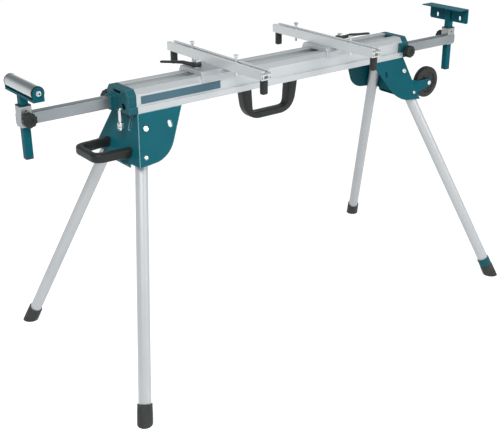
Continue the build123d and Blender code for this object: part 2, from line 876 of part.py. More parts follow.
# Transport wheels and their axles
def make_wheel():
    near = -ear_place_y + ear_sheet + ear_wheel_gap
    far = near + wheel_width
    centre = (wheel_place_x, wheel_place_z)
    body = rod((centre[0], near, centre[1]), (centre[0], far, centre[1]), wheel_radius)
    body = fillet(body.edges().filter_by(GeomType.CIRCLE), wheel_edge)
    for start, end in ((near, near + wheel_dish_depth), (far - wheel_dish_depth, far)):
        ring = rod((centre[0], start, centre[1]), (centre[0], end, centre[1]),
                   wheel_dish_radius)
        ring -= rod((centre[0], start, centre[1]), (centre[0], end, centre[1]),
                    axle_radius * 2)
        body -= ring
    return body - rod((centre[0], near - overrun, centre[1]),
                      (centre[0], far + overrun, centre[1]), axle_radius + running_gap)


def make_axle():
    outer = -ear_place_y
    inner = outer + ear_sheet + ear_wheel_gap + wheel_width + slide_gap
    x, z = wheel_place_x, wheel_place_z
    head = rod((x, outer - axle_head_height, z), (x, outer, z), axle_head_radius)
    head = fillet(head.edges().filter_by(GeomType.CIRCLE).group_by(Axis.Y)[0],
                  axle_head_round)
    return head + rod((x, outer, z), (x, inner, z), axle_radius) + rod(
        (x, inner, z), (x, inner + axle_head_height, z), axle_head_radius)


wheel = make_wheel()
axle = make_axle()
add("wheel_front", wheel)
add("wheel_rear", place(wheel, False, True))
add("wheel_axles", axle, place(axle, False, True))


# Carry handle: a moulded D under the middle of the rail
def make_carry_handle():
    half = [(handle_half_width * across, handle_drop * down)
            for across, down in handle_outline_shares]
    full = half + [(-u, v) for u, v in reversed(half)]
    outer = [(handle_centre_x + u, rail_bottom - v) for u, v in full]
    body = prism_y(outer, -handle_depth / 2, handle_depth / 2)
    inner_top = handle_half_width - handle_arm_width
    hollow = prism_y([(handle_centre_x - inner_top, rail_bottom),
                      (handle_centre_x + inner_top, rail_bottom),
                      (handle_centre_x + handle_inner_half,
                       rail_bottom - handle_drop + handle_grip_height),
                      (handle_centre_x - handle_inner_half,
                       rail_bottom - handle_drop + handle_grip_height)],
                     -handle_depth, handle_depth)
    low_edges = hollow.edges().filter_by(Axis.Y).group_by(Axis.Z)[0]
    hollow = fillet(low_edges, handle_inner_corner)
    rim = [edge for edge in (body - hollow).edges()
           if abs(edge.center().Y) > handle_depth / 2 - running_gap
           and edge.center().Z < rail_bottom - running_gap]
    return chamfer(rim, handle_edge)


add("carry_handle", make_carry_handle())


# Clamp knobs: scalloped head, neck and a threaded stud, along +Y from the stud's tip
def make_knob(tip_y, neck_y, x, z, side):
    """Knob on the side given by side, -1 for the front: its neck seats at neck_y."""
    head_y = neck_y + side * knob_neck_length
    end_y = head_y + side * knob_thickness
    head = rod((x, head_y, z), (x, end_y, z), knob_radius)
    for i in range(knob_lobe_count):
        turn = 2 * math.pi * i / knob_lobe_count
        reach = knob_radius + knob_lobe_radius / 2
        cx = x + reach * math.cos(turn)
        cz = z + reach * math.sin(turn)
        head -= rod((cx, head_y, cz), (cx, end_y, cz), knob_lobe_radius)
    head -= rod((x, end_y - side * knob_recess_depth, z), (x, end_y, z), knob_recess_radius)
    return head + rod((x, neck_y, z), (x, head_y, z), knob_neck_radius) + rod(
        (x, tip_y, z), (x, neck_y, z), stud_radius)


cap_side_y = lip_half
arm_knob = make_knob(arm_outer_y + slide_gap, cap_side_y + slide_gap, cap_knob_x, cap_knob_z, 1)
add("arm_knob_left", arm_knob)
add("arm_knob_right", turned(arm_knob))

# Arms and sleeves: made for the left side with the sleeve's inner face at x = 0
sleeve_place_y = arm_outer_y - arm_wall - sleeve_side / 2
sleeve_bottom = arm_bottom - sleeve_drop
sleeve_top = sleeve_bottom + sleeve_height
post_knob_z = arm_bottom + post_knob_rise
left_sleeve_x = -rail_half - left_arm_reach
right_sleeve_x = -rail_half - right_arm_reach
roller_bracket_bottom = sleeve_top + roller_bracket_rise
left_post_bottom = roller_bracket_bottom - left_post_length
stop_top = sleeve_top + stop_rise
right_post_bottom = stop_top - stop_sheet - right_post_length


def make_arm(sleeve_x):
    inner = sleeve_x + arm_length
    seat = Plane(origin=(sleeve_x, arm_place_y, arm_mid_z), x_dir=(0, 1, 0), z_dir=(1, 0, 0))
    section = RectangleRounded(arm_depth, arm_height, arm_corner)
    section -= RectangleRounded(arm_depth - arm_wall - arm_wall,
                                arm_height - arm_wall - arm_wall, arm_corner - arm_wall)
    body = extrude(seat * section, amount=inner - sleeve_x)
    return body + block(sleeve_x - sleeve_side, sleeve_x, arm_outer_y - arm_wall, arm_outer_y,
                        arm_bottom + arm_corner, arm_top - arm_corner)


def square_tube(x, y, side, corner, z_low, z_high):
    face = Pos(x, y, z_low) * RectangleRounded(side, side, corner)
    return extrude(face, amount=z_high - z_low, dir=(0, 0, 1))


def make_sleeve(sleeve_x):
    x = sleeve_x - sleeve_side / 2
    bore = sleeve_side - sleeve_wall - sleeve_wall
    body = square_tube(x, sleeve_place_y, sleeve_side, sleeve_wall, sleeve_bottom, sleeve_top)
    body -= square_tube(x, sleeve_place_y, bore, sleeve_wall / 2, sleeve_bottom, sleeve_top)
    half = sleeve_side / 2
    z = sleeve_top - sleeve_hole_drop
    body -= rod((x, sleeve_place_y - half - overrun, z), (x, sleeve_place_y + half + overrun, z),
                sleeve_hole_radius)
    return body - rod((x, sleeve_place_y - half - overrun, post_knob_z),
                      (x, sleeve_place_y, post_knob_z), stud_radius + press_gap)


def make_liner(sleeve_x):
    x = sleeve_x - sleeve_side / 2
    outer = sleeve_side - sleeve_wall - sleeve_wall - press_gap
    body = square_tube(x, sleeve_place_y, outer, sleeve_wall / 2, sleeve_bottom, sleeve_top)
    body += square_tube(x, sleeve_place_y, sleeve_side, sleeve_wall, sleeve_top,
                        sleeve_top + liner_rim)
    body -= square_tube(x, sleeve_place_y, post_side + slide_gap, post_corner,
                        sleeve_bottom, sleeve_top + liner_rim)
    return body - rod((x, sleeve_place_y - sleeve_side, post_knob_z),
                      (x, sleeve_place_y, post_knob_z), stud_radius + press_gap)


def make_post(sleeve_x, z_low, z_high):
    x = sleeve_x - sleeve_side / 2
    bore = post_side - post_wall - post_wall
    body = square_tube(x, sleeve_place_y, post_side, post_corner, z_low, z_high)
    return body - square_tube(x, sleeve_place_y, bore, post_corner - post_wall, z_low, z_high)


def make_post_plug(sleeve_x, z_low):
    x = sleeve_x - sleeve_side / 2
    bore = post_side - post_wall - post_wall
    head = square_tube(x, sleeve_place_y, post_side, post_corner, z_low - plug_head, z_low)
    stem = square_tube(x, sleeve_place_y, bore - press_gap, post_corner - post_wall,
                       z_low, z_low + plug_stem)
    return head + stem


def make_post_knob(sleeve_x):
    x = sleeve_x - sleeve_side / 2
    return make_knob(sleeve_place_y - post_side / 2 - slide_gap - slide_gap / 2,
                     sleeve_place_y - sleeve_side / 2 - slide_gap, x, post_knob_z, -1)


def add_arm(name, sleeve_x, right):
    sides = {
        "extension_arm_": make_arm(sleeve_x),
        "post_sleeve_": make_sleeve(sleeve_x),
        "sleeve_liner_": make_liner(sleeve_x),
        "post_knob_": make_post_knob(sleeve_x),
    }
    for prefix, shape in sides.items():
        add(prefix + name, turned(shape) if right else shape)


add_arm("left", left_sleeve_x, False)
add_arm("right", right_sleeve_x, True)
add("roller_post", make_post(left_sleeve_x, left_post_bottom, roller_bracket_bottom))
add("roller_post_plug", make_post_plug(left_sleeve_x, left_post_bottom))
add("stop_post", turned(make_post(right_sleeve_x, right_post_bottom, stop_top - stop_sheet)))
add("stop_post_plug", turned(make_post_plug(right_sleeve_x, right_post_bottom)))

# Work-support roller: bracket, tube, end rings and axle
roller_x = left_sleeve_x - sleeve_side / 2
roller_z = roller_bracket_bottom + bracket_sheet + bracket_floor_gap + roller_radius
ear_half_y = roller_length / 2 + roller_side_gap + bracket_sheet


def make_roller_bracket():
    half_x = bracket_width / 2
    inner = ear_half_y - bracket_sheet
    y = roller_place_y
    z = roller_bracket_bottom
    body = block(roller_x - half_x, roller_x + half_x, y - ear_half_y, y + ear_half_y,
                 z, z + bracket_side_height)
    body -= block(roller_x - half_x + bracket_sheet, roller_x + half_x - bracket_sheet,
                  y - inner, y + inner, z + bracket_sheet, z + bracket_side_height)
    for y_low, y_high in ((y - ear_half_y, y - inner), (y + inner, y + ear_half_y)):
        body += block(roller_x - half_x, roller_x + half_x, y_low, y_high, z, roller_z)
        body += rod((roller_x, y_low, roller_z), (roller_x, y_high, roller_z), half_x)
        body -= rod((roller_x, y_low - bracket_sheet, roller_z),
                    (roller_x, y_high + bracket_sheet, roller_z),
                    roller_axle_radius + press_gap)
    return body


def y_tube(y_low, y_high, outer, inner):
    return rod((roller_x, y_low, roller_z), (roller_x, y_high, roller_z), outer) - rod(
        (roller_x, y_low, roller_z), (roller_x, y_high, roller_z), inner)


def make_roller_tube():
    half = roller_length / 2 - roller_ring_flange
    return y_tube(roller_place_y - half, roller_place_y + half, roller_radius,
                  roller_radius - roller_wall)


def make_roller_ring(side):
    outer_y = roller_place_y + side * roller_length / 2
    seat_y = outer_y - side * roller_ring_flange
    inner_y = seat_y - side * roller_ring_width
    bore = roller_axle_radius + running_gap
    flange = y_tube(min(outer_y, seat_y), max(outer_y, seat_y),
                    roller_radius + roller_ring_lip, bore)
    return flange + y_tube(min(seat_y, inner_y), max(seat_y, inner_y),
                           roller_radius - roller_wall - press_gap, bore)


def make_roller_axle():
    y_low = roller_place_y - ear_half_y
    y_high = roller_place_y + ear_half_y
    body = rod((roller_x, y_low, roller_z), (roller_x, y_high, roller_z), roller_axle_radius)
    for y, side in ((y_low, -1), (y_high, 1)):
        washer_end = y + side * washer_thickness
        nut_end = washer_end + side * acorn_nut_height
        body += rod((roller_x, y, roller_z), (roller_x, washer_end, roller_z), washer_radius)
        body += hex_rod((roller_x, washer_end, roller_z), (roller_x, nut_end, roller_z),
                        acorn_nut_radius)
    return body


add("roller_bracket", make_roller_bracket())
add("roller_tube", make_roller_tube())
add("roller_end_rings", make_roller_ring(-1), make_roller_ring(1))
add("roller_axle", make_roller_axle())


# Stop plate: an angle let into the right post, modelled for the left side and turned round
def make_stop_plate():
    post_x = right_sleeve_x - sleeve_side / 2
    face_x = post_x + stop_sheet
    y_low = sleeve_place_y - stop_length / 2
    y_high = sleeve_place_y + stop_length / 2
    wall = block(face_x - stop_sheet, face_x, y_low, y_high, stop_top - stop_height, stop_top)
    wall = fillet(wall.edges().filter_by(Axis.X).group_by(Axis.Z)[0], stop_corner)
    body = wall + block(face_x - stop_sheet, face_x - stop_sheet + stop_shelf, y_low, y_high,
                        stop_top - stop_sheet, stop_top)
    for side in (-1, 1):
        y = sleeve_place_y + side * stop_slot_spacing / 2
        z_low = stop_top - stop_height + stop_slot_rise
        half = stop_slot_width / 2
        straight = stop_slot_height - stop_slot_width
        body -= block(face_x - stop_sheet - overrun, face_x + overrun, y - half, y + half,
                      z_low, z_low + straight)
        for z in (z_low, z_low + straight):
            body -= rod((face_x - stop_sheet - overrun, y, z), (face_x + overrun, y, z), half)
    return body - square_tube(post_x, sleeve_place_y, post_side + press_gap + press_gap,
                              post_corner, stop_top - stop_height - overrun,
                              stop_top - stop_sheet)


add("stop_plate", turned(make_stop_plate()))


# Saw brackets: made about x = 0 with the clamp on -X, then moved or turned to their places
def make_beam():
    half = beam_width / 2
    y = beam_length / 2
    floor = beam_top - beam_slot_depth
    body = block(-half, half, -y, y, beam_bottom, beam_top)
    body -= block(-beam_slot_opening / 2, beam_slot_opening / 2, -y, y, floor, beam_top)
    body -= block(-beam_slot_width / 2, beam_slot_width / 2, -y, y, floor,
                  beam_top - beam_slot_lip)
    cell_low = beam_bottom + beam_floor
    cell_high = floor - beam_web
    body -= prism_y([(-beam_cell_width / 2, cell_low), (beam_cell_width / 2, cell_low),
                     (beam_cell_top_width / 2, cell_high),
                     (-beam_cell_top_width / 2, cell_high)], -y, y)
    cell_mid_x = (half + beam_slot_width / 2) / 2
    for side in (-1, 1):
        x = side * cell_mid_x
        for z in (beam_bottom + beam_floor, beam_top - beam_floor - beam_corner_cell_height):
            body -= block(x - beam_corner_cell / 2, x + beam_corner_cell / 2, -y, y,
                          z, z + beam_corner_cell_height)
        low, high = sorted((side * beam_mill_start, side * beam_mill_end))
        body -= block(-beam_mill_width / 2, beam_mill_width / 2, low, high,
                      beam_bottom - overrun, floor + overrun)
    return body


def make_end_feet():
    half = beam_end_foot_width / 2
    outer = beam_length / 2 - beam_end_foot_inset
    foot = block(-half, half, -outer, -outer + beam_end_foot_depth,
                 beam_bottom - beam_end_foot_drop, beam_bottom)
    foot = chamfer(foot.edges().group_by(Axis.Z)[0], beam_end_foot_inset / 2)
    return [foot, mirror(foot, about=Plane.XZ)]


def make_clamp_base():
    low = rail_top + base_rail_gap
    gap = base_rail_gap
    hook_low = rail_bottom + rail_chamfer_start + rail_wall - base_hook_drop / 2
    chamfer_run = side_half - top_half
    chamfer_rise = rail_height - rail_chamfer_start
    slope = chamfer_run / chamfer_rise
    shoulder = rail_bottom + rail_chamfer_start
    half = [
        (top_half + gap, low),
        (side_half + gap, shoulder + gap * slope),
        (side_half + gap, hook_low),
        (side_half + gap + base_hook_wall, hook_low),
        (side_half + gap + base_hook_wall, low),
        (base_top_half_depth, beam_bottom),
    ]
    body = prism_x(mirrored_outline(half), -base_outer_reach, base_inner_reach)
    return body - rod((-clamp_screw_offset, 0, low - overrun),
                      (-clamp_screw_offset, 0, beam_bottom + overrun),
                      clamp_screw_radius + press_gap)


def make_lever(heading):
    x = -clamp_screw_offset
    z = beam_bottom + clamp_washer_height + slide_gap
    hub = Pos(x, 0, z) * Cylinder(lever_hub_radius, lever_hub_height,
                                  align=(Align.CENTER, Align.CENTER, Align.MIN))
    tip = lever_length - lever_tip_width / 2
    grip_low = z + lever_hub_height - lever_thickness
    arm = make_face(Polyline((0, -lever_root_width / 2), (tip, -lever_tip_width / 2),
                             (tip, lever_tip_width / 2), (0, lever_root_width / 2), close=True))
    arm = extrude(arm + Pos(tip, 0) * Circle(lever_tip_width / 2), amount=lever_thickness)
    arm = Pos(x, 0, grip_low) * (Rot(0, 0, heading) * arm)
    bore = Pos(x, 0, z) * Cylinder(clamp_screw_radius + running_gap, lever_hub_height,
                                   align=(Align.CENTER, Align.CENTER, Align.MIN))
    return hub + arm - bore


def make_clamp_screw():
    x = -clamp_screw_offset
    plate_top = rail_top - rail_slot_lip - base_rail_gap
    plate = block(x - clamp_plate_length / 2, x + clamp_plate_length / 2,
                  -clamp_plate_width / 2, clamp_plate_width / 2,
                  plate_top - clamp_plate_thickness, plate_top)
    lever_low = beam_bottom + clamp_washer_height + slide_gap
    lever_high = lever_low + lever_hub_height
    nut_low = lever_high + slide_gap
    nut_high = nut_low + clamp_nut_height
    shank = plate + rod((x, 0, plate_top), (x, 0, nut_high), clamp_screw_radius)
    nut = hex_rod((x, 0, nut_low), (x, 0, nut_high), clamp_nut_radius)
    washer = rod((x, 0, beam_bottom), (x, 0, beam_bottom + clamp_washer_height),
                 clamp_washer_radius)
    return shank + nut + washer


def make_saw_bolt(y):
    low = beam_bottom - saw_bolt_drop
    head_low = beam_top + saw_bolt_rise
    shank = rod((0, y, low), (0, y, head_low), saw_bolt_radius)
    head = hex_rod((0, y, head_low), (0, y, head_low + saw_bolt_head_height),
                   saw_bolt_head_radius)
    nut_low = beam_top - beam_slot_depth + running_gap
    half = saw_nut_side / 2
    nut = block(-half, half, y - half, y + half, nut_low, nut_low + saw_nut_height)
    return shank + head + nut


def add_saw_bracket(name, x, right, heading, front_y, rear_y):
    def put(shape):
        return Pos(x, 0, 0) * (turned(shape) if right else shape)

    add("saw_beam_" + name, put(make_beam()))
    add("beam_feet_" + name, *[put(foot) for foot in make_end_feet()])
    add("clamp_base_" + name, put(make_clamp_base()))
    add("clamp_screw_" + name, put(make_clamp_screw()))
    add("clamp_lever_" + name, put(make_lever(heading - 180 if right else heading)))
    add("saw_bolt_" + name + "_front", Pos(x, 0, 0) * make_saw_bolt(front_y))
    add("saw_bolt_" + name + "_rear", Pos(x, 0, 0) * make_saw_bolt(rear_y))


add_saw_bracket("left", left_beam_x, False, left_lever_heading,
                left_front_bolt_y, left_rear_bolt_y)
add_saw_bracket("right", right_beam_x, True, right_lever_heading,
                right_front_bolt_y, right_rear_bolt_y)

# The finished stand is moved along X, so that the origin lies under the middle of its length
boxes = [solid.bounding_box() for solids in nodes.values() for solid in solids]
stand_shift = -(min(box.min.X for box in boxes) + max(box.max.X for box in boxes)) / 2
os.makedirs("parts", exist_ok=True)
for name, solids in nodes.items():
    moved = [Pos(stand_shift, 0, 0) * solid for solid in solids]
    shape = moved[0] if len(moved) == 1 else Compound(children=moved)
    export_step(shape, "parts/" + name + ".step")
print(len(nodes), "nodes")
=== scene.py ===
import json
import math

import bpy
import numpy as np
from mathutils import Matrix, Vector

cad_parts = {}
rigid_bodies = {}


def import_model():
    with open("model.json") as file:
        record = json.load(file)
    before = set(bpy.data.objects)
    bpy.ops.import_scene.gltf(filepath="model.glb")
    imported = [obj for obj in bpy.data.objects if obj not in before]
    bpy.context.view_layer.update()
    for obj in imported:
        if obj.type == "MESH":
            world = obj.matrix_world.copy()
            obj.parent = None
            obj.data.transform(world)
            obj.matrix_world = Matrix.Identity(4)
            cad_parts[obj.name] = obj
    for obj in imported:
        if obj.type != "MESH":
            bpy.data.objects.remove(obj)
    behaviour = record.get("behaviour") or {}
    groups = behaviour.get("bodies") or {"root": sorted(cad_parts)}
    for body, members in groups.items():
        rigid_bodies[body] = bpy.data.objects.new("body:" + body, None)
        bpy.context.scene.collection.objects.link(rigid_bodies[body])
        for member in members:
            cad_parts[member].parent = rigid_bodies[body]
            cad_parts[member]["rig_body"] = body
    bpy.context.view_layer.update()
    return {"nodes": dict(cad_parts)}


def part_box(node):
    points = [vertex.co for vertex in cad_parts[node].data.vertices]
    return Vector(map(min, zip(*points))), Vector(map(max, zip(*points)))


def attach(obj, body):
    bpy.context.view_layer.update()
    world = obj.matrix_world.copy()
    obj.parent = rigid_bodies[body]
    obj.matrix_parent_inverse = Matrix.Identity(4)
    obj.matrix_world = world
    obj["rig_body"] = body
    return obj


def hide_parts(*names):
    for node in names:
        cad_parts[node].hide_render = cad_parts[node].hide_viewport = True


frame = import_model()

# A folding stand for a miter saw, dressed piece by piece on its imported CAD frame. Sizes in the
# sections are in millimetres unless a comment says otherwise; the scene itself is in metres.
nodes = frame["nodes"]


# The rail: a hollow extrusion of aluminium, clear anodised after a light etch, which leaves a
# soft grey with faint lines along the press direction. The two saw beams are the same metal,
# sawn to length and slotted; their lines run across the stand.
def linear(text):
    """Linear RGBA of an sRGB hex colour: c / 12.92 up to 0.04045, and above it
    ((c + 0.055) / 1.055)^2.4."""
    channels = np.array([int(text[i:i + 2], 16) for i in (1, 3, 5)]) / 255
    curve = np.where(channels <= 0.04045, channels / 12.92, ((channels + 0.055) / 1.055) ** 2.4)
    return (*curve.tolist(), 1.0)


def put(tree, kind, settings=(), **links):
    """Adds one shader node; settings are its attributes or socket values, links its inputs."""
    node = tree.nodes.new(kind)
    for key, value in dict(settings).items():
        if isinstance(key, str) and hasattr(node, key):
            setattr(node, key, value)
        else:
            node.inputs[key].default_value = value
    for key, source in links.items():
        tree.links.new(source, node.inputs[key.replace("_", " ")])
    return node


def finish(name, dark, light, rim, metallic, roughness, patch, grain, depth, edge,
           stretch=(1, 1, 1), spread=0.06, **sockets):
    """A surface with two tones, mixed by patches of a size in millimetres, and a grain of another
    size, stretched along an axis, that moves the roughness by the spread and raises a bump of the
    given depth. Corners catch the light as if rounded by the edge radius, and their colour goes
    over to the rim tone by (1 - rounded normal . normal) / 0.12: a painted highlight where the rim
    tone is lighter than the two tones, and painted shade where it is darker."""
    material = bpy.data.materials.new(name)
    material.use_nodes = True
    tree = material.node_tree
    tree.nodes.clear()
    place = put(tree, "ShaderNodeTexCoord").outputs["Object"]
    cloud = put(tree, "ShaderNodeTexNoise", {"Scale": 1000 / patch, "Detail": 3.0}, Vector=place)
    squeezed = put(tree, "ShaderNodeMapping", {"Scale": [1 / s for s in stretch]}, Vector=place)
    grains = put(tree, "ShaderNodeTexNoise", {"Scale": 1000 / grain, "Detail": 4.0},
                 Vector=squeezed.outputs["Vector"])
    ramp = put(tree, "ShaderNodeValToRGB", Fac=cloud.outputs["Fac"])
    ramp.color_ramp.elements[0].position, ramp.color_ramp.elements[1].position = 0.3, 0.7
    ramp.color_ramp.elements[0].color = linear(dark)
    ramp.color_ramp.elements[1].color = linear(light)
    rough = put(tree, "ShaderNodeMapRange", {"To Min": roughness - spread,
                                             "To Max": roughness + spread},
                Value=grains.outputs["Fac"])
    corner = put(tree, "ShaderNodeBevel", {"samples": 4, "Radius": edge / 1000})
    bump = put(tree, "ShaderNodeBump", {"Strength": 0.6, "Distance": depth / 1000},
               Height=grains.outputs["Fac"], Normal=corner.outputs["Normal"])
    turn = put(tree, "ShaderNodeVectorMath", {"operation": "DOT_PRODUCT"})
    tree.links.new(corner.outputs["Normal"], turn.inputs[0])
    tree.links.new(put(tree, "ShaderNodeNewGeometry").outputs["Normal"], turn.inputs[1])
    # Painted edge light and shade: the rim tone is mixed in where the rounded normal turns away
    # from the true one.
    painted_edge_shading = put(tree, "ShaderNodeMapRange", {"From Min": 1.0, "From Max": 0.88},
               Value=turn.outputs["Value"])
    tone = put(tree, "ShaderNodeMixRGB", {"Color2": linear(rim)}, Fac=painted_edge_shading.outputs["Result"],
               Color1=ramp.outputs["Color"])
    shader = put(tree, "ShaderNodeBsdfPrincipled",
                 {"Metallic": metallic, **{k.replace("_", " "): v for k, v in sockets.items()}},
                 Base_Color=tone.outputs["Color"], Roughness=rough.outputs["Result"],
                 Normal=bump.outputs["Normal"])
    put(tree, "ShaderNodeOutputMaterial", Surface=shader.outputs["BSDF"])
    return material


def dress(material, *names):
    """Gives a finish to CAD nodes that stay as they are."""
    for name in names:
        mesh = nodes[name].data
        mesh.materials.clear()
        mesh.materials.append(material)


# The press lines are under a tenth of a millimetre; here they are 1.5 mm so that they show.
# The rim tones of rail and beams, lighter than the metal, are painted highlights along the edges.
rail_metal = finish("anodised_aluminium_rail", "#c4c9cb", "#ccd0d2", "#e9ebed",
                    metallic=0.5, roughness=0.44, patch=220, grain=1.5, depth=0.03, edge=1.2,
                    stretch=(60, 1, 1), spread=0.03)
beam_metal = finish("anodised_aluminium_beam", "#d6dadb", "#dee1e2", "#f0f2f2",
                    metallic=0.35, roughness=0.46, patch=220, grain=1.5, depth=0.03, edge=1.2,
                    stretch=(1, 50, 1), spread=0.03)
dress(rail_metal, "main_rail")
dress(beam_metal, "saw_beam_left", "saw_beam_right")


# The trim is a long strip of thin plastic film, stuck on the rail's front: a grey-blue with a low
# sheen, whose colour is barely uneven.
# Its lighter rim tone is a painted highlight along the edges.
trim_film = finish("satin_plastic_film", "#456877", "#4e7281", "#5b7e8c",
                   metallic=0.0, roughness=0.42, patch=120, grain=2.5, depth=0.01, edge=0.3,
                   stretch=(8, 1, 1), spread=0.03, Specular_IOR_Level=0.35)
dress(trim_film, "rail_trim_plate")


# The end caps are injection moulded in teal plastic, with the fine spark texture of their tool.
# They are screwed into the rail's ports, and their collars guide the arms. The collar of the
# levelling foot is the same plastic.
# The lighter rim tone is a painted highlight along the caps' edges.
cap_plastic = finish("teal_moulded_plastic", "#14525c", "#1b5c67", "#3c8a95",
                     metallic=0.0, roughness=0.5, patch=60, grain=1.2, depth=0.05, edge=2.4,
                     spread=0.05, Specular_IOR_Level=0.25)
dress(cap_plastic, "end_cap_left", "end_cap_right", "levelling_collar")


# The leg brackets are folded from 3 mm sheet steel and powder coated: an even teal skin with a
# soft shine and a slight orange peel about 3 mm across. The posts, the roller's bracket and the
# stop plate have the same coat. The left bracket's copy of the coat is a painted highlight: a
# shade lighter all over, with a bright teal line painted along its folds. The other coat's lighter
# rim tone is a faint painted highlight along the edges.
teal_coat_painted_fold_highlight = finish("teal_powder_coat_painted_fold_highlight", "#0f5d6a", "#146672", "#b4dbe0",
                  metallic=0.0, roughness=0.42, patch=160, grain=3.0, depth=0.05, edge=3.6,
                  spread=0.05, Specular_IOR_Level=0.08)
teal_coat = finish("teal_powder_coat", "#0b5966", "#0f616e", "#20727e",
                   metallic=0.0, roughness=0.42, patch=160, grain=3.0, depth=0.05, edge=2.4,
                   spread=0.05, Specular_IOR_Level=0.08)
dress(teal_coat_painted_fold_highlight, "leg_bracket_left")
dress(teal_coat, "leg_bracket_right", "roller_bracket", "stop_plate", "roller_post", "stop_post")


# The legs are round aluminium tube, drawn and satin anodised: pale, with a soft broad highlight.
# The lighter rim tone is a painted highlight along the legs' edges.
leg_metal = finish("satin_anodised_tube", "#c2c6c8", "#cacdcf", "#d9dcde",
                   metallic=0.4, roughness=0.48, patch=160, grain=1.0, depth=0.02, edge=0.5,
                   spread=0.04)
dress(leg_metal, "leg_front_left", "leg_front_right", "leg_rear_left", "leg_rear_right")


# The arms are box tube and the sleeves square tube of steel, welded and then zinc plated. The
# drawing lines still show through the plating along the arms.
# The lighter rim tones of both are painted highlights along the edges.
arm_metal = finish("zinc_plated_box_tube", "#8b9195", "#979da1", "#c0c5c8",
                   metallic=0.8, roughness=0.36, patch=120, grain=1.2, depth=0.03, edge=2.0,
                   stretch=(40, 1, 1), spread=0.04)
sleeve_metal = finish("zinc_plated_sleeve", "#999da0", "#a6aaad", "#d3d6d8",
                      metallic=0.75, roughness=0.36, patch=60, grain=1.2, depth=0.03, edge=1.4,
                      stretch=(1, 1, 20), spread=0.04)
dress(arm_metal, "extension_arm_left", "extension_arm_right")
dress(sleeve_metal, "post_sleeve_left", "post_sleeve_right")


# The clamp bases are die castings, blasted and left bare: a dull grey with a sandy touch.
# The lighter rim tone is a painted highlight along the edges.
cast_metal = finish("blasted_die_cast_aluminium", "#b3b8ba", "#bfc4c6", "#eceeef",
                    metallic=0.6, roughness=0.46, patch=60, grain=1.6, depth=0.1, edge=2.6,
                    spread=0.06)
dress(cast_metal, "clamp_base_left", "clamp_base_right")


# The work roller is thin steel tube, ground and polished, so it mirrors the light along its top.
# The lighter rim tone is a painted highlight along the edges.
roller_metal = finish("ground_steel_roller", "#b7bcbe", "#c0c5c7", "#d0d4d6",
                      metallic=1.0, roughness=0.22, patch=90, grain=1.0, depth=0.01, edge=0.5,
                      stretch=(1, 12, 1), spread=0.03)
dress(roller_metal, "roller_tube")


# Bolts, pins and axles are turned or pressed steel with bright zinc plating; their darker rim
# tone is painted shade round the edges of their heads. The screws that hold the end caps, the
# brackets and the tow grip get a dark steel finish, whose lighter rim tone is a painted highlight.
bright_zinc = finish("bright_zinc_plating", "#d3d6d8", "#e0e3e4", "#8b9194",
                     metallic=0.9, roughness=0.22, patch=12, grain=0.8, depth=0.01, edge=1.6,
                     spread=0.06)
dark_steel = finish("dark_steel_screw", "#34393b", "#43494b", "#6d7475",
                    metallic=0.8, roughness=0.4, patch=10, grain=0.8, depth=0.02, edge=0.5,
                    spread=0.05)
dress(dark_steel, "frame_screws")
dress(bright_zinc, "leg_pivot_bolts", "wheel_axles", "roller_axle",
      "clamp_screw_left", "clamp_screw_right", "lock_pin_front_left", "lock_pin_front_right",
      "lock_pin_rear_left", "lock_pin_rear_right", "saw_bolt_left_front", "saw_bolt_left_rear",
      "saw_bolt_right_front", "saw_bolt_right_rear")


# The liners, plugs and roller rings are moulded in black plastic, with a fine matt grain.
# The lighter rim tone is a painted highlight along the mouldings' edges.
black_plastic = finish("black_moulded_plastic", "#1d2121", "#262a29", "#4f5453",
                       metallic=0.0, roughness=0.44, patch=40, grain=1.0, depth=0.06, edge=2.0,
                       spread=0.06, Specular_IOR_Level=0.32)
dress(black_plastic, "sleeve_liner_left", "sleeve_liner_right", "roller_post_plug",
      "stop_post_plug", "roller_end_rings")


# The clamp knobs are moulded in the same black plastic round a steel stud: a head with ten finger
# scallops, a rounded rim and a round recess in the middle, on a short neck. Two screw through the
# end caps against the arms, and two through the sleeves against the posts.
def shell(name, parts, material, body, slot, *replaced):
    """A piece with a closed skin. Each part is (rings, looped): rings is an array of rings of
    points in millimetres, four neighbouring points make a face, and the first and last rings are
    filled flat, or joined to each other where the part is looped. A part whose volume, the sum of
    a . (b x c) over its triangles, is negative is turned right side out. Edges that turn by more
    than 38 degrees stay sharp."""
    points, faces, start = [], [], 0
    for rings, looped in parts:
        count, around = rings.shape[:2]
        index = np.arange(count * around).reshape(count, around)
        near = index if looped else index[:-1]
        far = np.roll(index, -1, axis=0) if looped else index[1:]
        quads = np.stack([near, np.roll(near, -1, 1), np.roll(far, -1, 1), far], -1).reshape(-1, 4)
        flat = rings.reshape(-1, 3)
        a, b, c, d = (flat[quads[:, i]] - flat.mean(0) for i in range(4))
        volume = (a * (np.cross(b, c) + np.cross(c, d))).sum()
        rows = (quads + start).tolist()
        if not looped:
            rows += [(index[0][::-1] + start).tolist(), (index[-1] + start).tolist()]
        faces += rows if volume > 0 else [row[::-1] for row in rows]
        points.append(flat / 1000)
        start += len(flat)
    mesh = bpy.data.meshes.new(name)
    mesh.from_pydata(np.concatenate(points).tolist(), [], faces)
    mesh.polygons.foreach_set("use_smooth", np.ones(len(faces), dtype=bool))
    mesh.set_sharp_from_angle(angle=math.radians(38))
    mesh.materials.append(material)
    piece = bpy.data.objects.new(name, mesh)
    bpy.context.scene.collection.objects.link(piece)
    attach(piece, body)
    if replaced:
        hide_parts(*replaced)
    return piece


